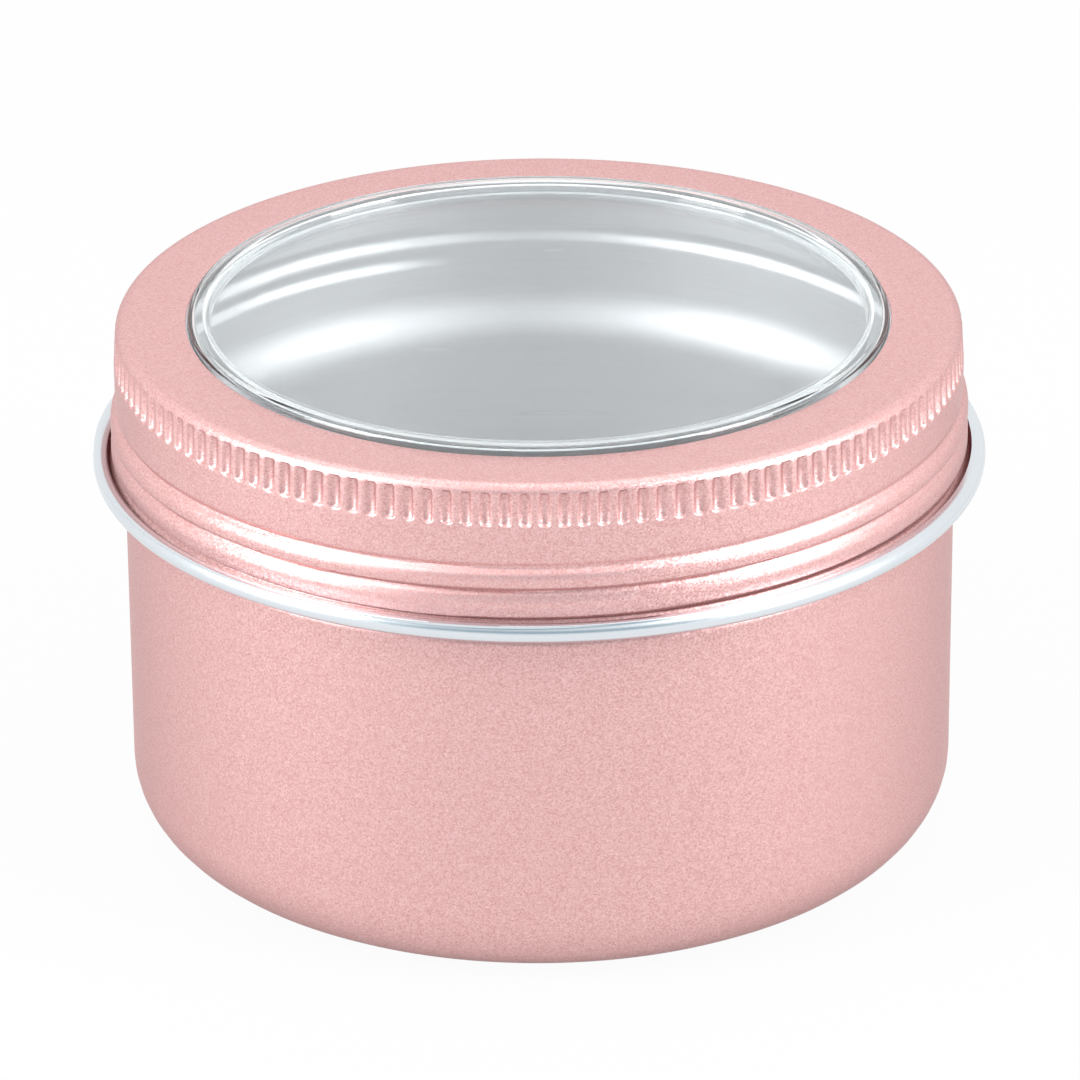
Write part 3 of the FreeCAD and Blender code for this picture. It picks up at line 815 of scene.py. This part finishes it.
class TIN_OT_window(bpy.types.Operator):
    """Builds the clear window disc"""

    bl_idname = "tin.window"
    bl_label = "Window"

    def execute(self, context):
        scene = context.scene
        rings, finishes = window_rings(scene.tin_window)
        finish = scene.tin_finishes
        sheet = "window_plastic", finish, finish.plastic, finish.sheet_clearness
        # The bead's milky material is a painted highlight for its bright ring.
        bead = "bead_plastic", finish, finish.bead_highlight_tint, finish.bead_highlight_clearness
        materials = [finish_material(values[0], clear_plastic, *values) for values in (sheet, bead)]
        piece = make_piece("window_pane", rings, False, finishes, materials)
        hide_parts("window")
        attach(piece, "window_disc")
        return {"FINISHED"}


def glow_share(nodes, stage):
    """The share of white glow for rays that show the floor itself, in a mirror or through glass."""
    path = nodes.add("ShaderNodeLightPath").outputs
    mirrored = nodes.math("MAXIMUM", path["Is Glossy Ray"], path["Is Transmission Ray"])
    shown = nodes.math("MULTIPLY", path["Is Camera Ray"], stage.floor_glow)
    return nodes.math("MAXIMUM", shown, nodes.math("MULTIPLY", mirrored, stage.mirror_glow))


def make_floor(stage):
    """A wide pale floor that shows white and keeps the tin's soft shadow."""
    sides = np.array([(-1, -1, 0), (1, -1, 0), (1, 1, 0), (-1, 1, 0)])
    mesh = bpy.data.meshes.new("floor")
    mesh.from_pydata(sides * FLOOR_REACH - (0, 0, FLOOR_GAP), [], [(0, 1, 2, 3)])
    material, nodes, shader, _ = new_material("pale_floor")
    shader.inputs["Base Color"].default_value = (*stage.floor_shade, 1)
    shader.inputs["Roughness"].default_value = FLOOR_ROUGHNESS
    shader.inputs["Specular IOR Level"].default_value = FLOOR_GLOSS
    glow = nodes.add("ShaderNodeEmission", Strength=1.0)
    mixed = nodes.add("ShaderNodeMixShader", Fac=glow_share(nodes, stage))
    nodes.feed(mixed.inputs[1], shader.outputs[0])
    nodes.feed(mixed.inputs[2], glow.outputs[0])
    nodes.feed(material.node_tree.nodes["Material Output"].inputs["Surface"], mixed.outputs[0])
    mesh.materials.append(material)
    floor = bpy.data.objects.new("floor", mesh)
    bpy.context.scene.collection.objects.link(floor)


def make_world(stage):
    """A room that is white along the horizon and overhead, pale behind and beside, and dim at the camera."""
    world = bpy.data.worlds.new("studio")
    world.use_nodes = True
    nodes = Nodes(world.node_tree)
    way = nodes.add("ShaderNodeTexCoord").outputs["Generated"]
    parts = nodes.add("ShaderNodeSeparateXYZ", Vector=way).outputs
    sides = nodes.blend(nodes.ramp(parts[1], *DIM_SIDE), (*stage.room, 1), (*stage.back_wall, 1))
    walls = nodes.blend(nodes.ramp(parts[2], *CEILING_EDGE), sides, (*stage.ceiling, 1))
    above = nodes.ramp(nodes.math("ABSOLUTE", parts[2]), *HORIZON_EDGE)
    shade = nodes.blend(above, (1, 1, 1, 1), walls)
    nodes.feed(world.node_tree.nodes["Background"].inputs["Color"], shade)
    bpy.context.scene.world = world


def make_light(name, level, turn, rise, distance, width, height, aim):
    """A rectangular soft light, turned from the camera's side, whose face has the given brightness."""
    data = bpy.data.lights.new(name, "AREA")
    data.shape = "RECTANGLE"
    data.size, data.size_y = width, height
    data.energy = level * math.pi * width * height
    light = bpy.data.objects.new(name, data)
    back = Vector((math.sin(turn) * math.cos(rise), -math.cos(turn) * math.cos(rise), math.sin(rise)))
    light.location = Vector((0, 0, aim)) + back * distance
    light.rotation_euler = back.to_track_quat("Z", "Y").to_euler()
    bpy.context.scene.collection.objects.link(light)


def make_camera(stage):
    """The camera on the front side, raised and rolled as in the photograph."""
    data = bpy.data.cameras.new("camera")
    data.sensor_width = SENSOR_WIDTH
    data.lens = stage.focal_pixels / IMAGE_SIDE * data.sensor_width
    data.clip_start, data.clip_end = NEAR_CLIP, FAR_CLIP
    camera = bpy.data.objects.new("camera", data)
    back = Vector((0, -math.cos(stage.elevation), math.sin(stage.elevation)))
    right, up = Vector((1, 0, 0)), Vector((0, math.sin(stage.elevation), math.cos(stage.elevation)))
    across = right * math.cos(stage.roll) + up * math.sin(stage.roll)
    upward = up * math.cos(stage.roll) - right * math.sin(stage.roll)
    place = Vector((0, 0, stage.aim)) + back * stage.distance
    camera.matrix_world = Matrix((across, upward, back)).transposed().to_4x4()
    camera.location = place
    bpy.context.scene.collection.objects.link(camera)
    bpy.context.scene.camera = camera


class TIN_OT_stage(bpy.types.Operator):
    """Builds the floor, the lights, the surroundings and the camera"""

    bl_idname = "tin.stage"
    bl_label = "Stage"

    def execute(self, context):
        stage = context.scene.tin_stage
        make_floor(stage)
        make_world(stage)
        side = stage.side_elevation, stage.side_distance, stage.side_width, stage.side_height, stage.aim
        make_light("left_light", stage.side_level, -stage.side_azimuth, *side)
        make_light("right_light", stage.side_level, stage.side_azimuth, *side)
        top = stage.top_elevation, stage.top_distance, stage.top_size, stage.top_size, stage.aim
        make_light("top_light", stage.top_level, stage.top_azimuth, *top)
        make_camera(stage)
        context.scene.view_settings.view_transform = "Standard"
        return {"FINISHED"}


class TIN_PT_sidebar(bpy.types.Panel):
    """Sidebar panel that lists the tin's pieces and their sizes"""

    bl_idname = "TIN_PT_sidebar"
    bl_label = "Window Lid Tin"
    bl_space_type = "VIEW_3D"
    bl_region_type = "UI"
    bl_category = "Tin"

    def draw(self, context):
        for operator in OPERATORS:
            self.layout.operator(operator.bl_idname)
        for group, holder in GROUPS.items():
            settings = getattr(context.scene, group)
            column = self.layout.column(heading=holder.__doc__)
            for name in holder.__annotations__:
                column.prop(settings, name)


GROUPS = {
    "tin_can": TinCanSizes,
    "tin_lid": TinLidSizes,
    "tin_window": TinWindowSizes,
    "tin_finishes": TinFinishes,
    "tin_stage": TinStage,
}
OPERATORS = (TIN_OT_can_body, TIN_OT_lid_shell, TIN_OT_window, TIN_OT_stage)


def register():
    for holder in (*GROUPS.values(), *OPERATORS, TIN_PT_sidebar):
        bpy.utils.register_class(holder)
    for group, holder in GROUPS.items():
        setattr(bpy.types.Scene, group, bpy.props.PointerProperty(type=holder))


def unregister():
    for group in GROUPS:
        delattr(bpy.types.Scene, group)
    for holder in (TIN_PT_sidebar, *reversed(OPERATORS), *reversed(GROUPS.values())):
        bpy.utils.unregister_class(holder)


def main():
    register()
    bpy.ops.tin.can_body()
    bpy.ops.tin.lid_shell()
    bpy.ops.tin.window()
    bpy.ops.tin.stage()


if __name__ == "__main__":
    main()
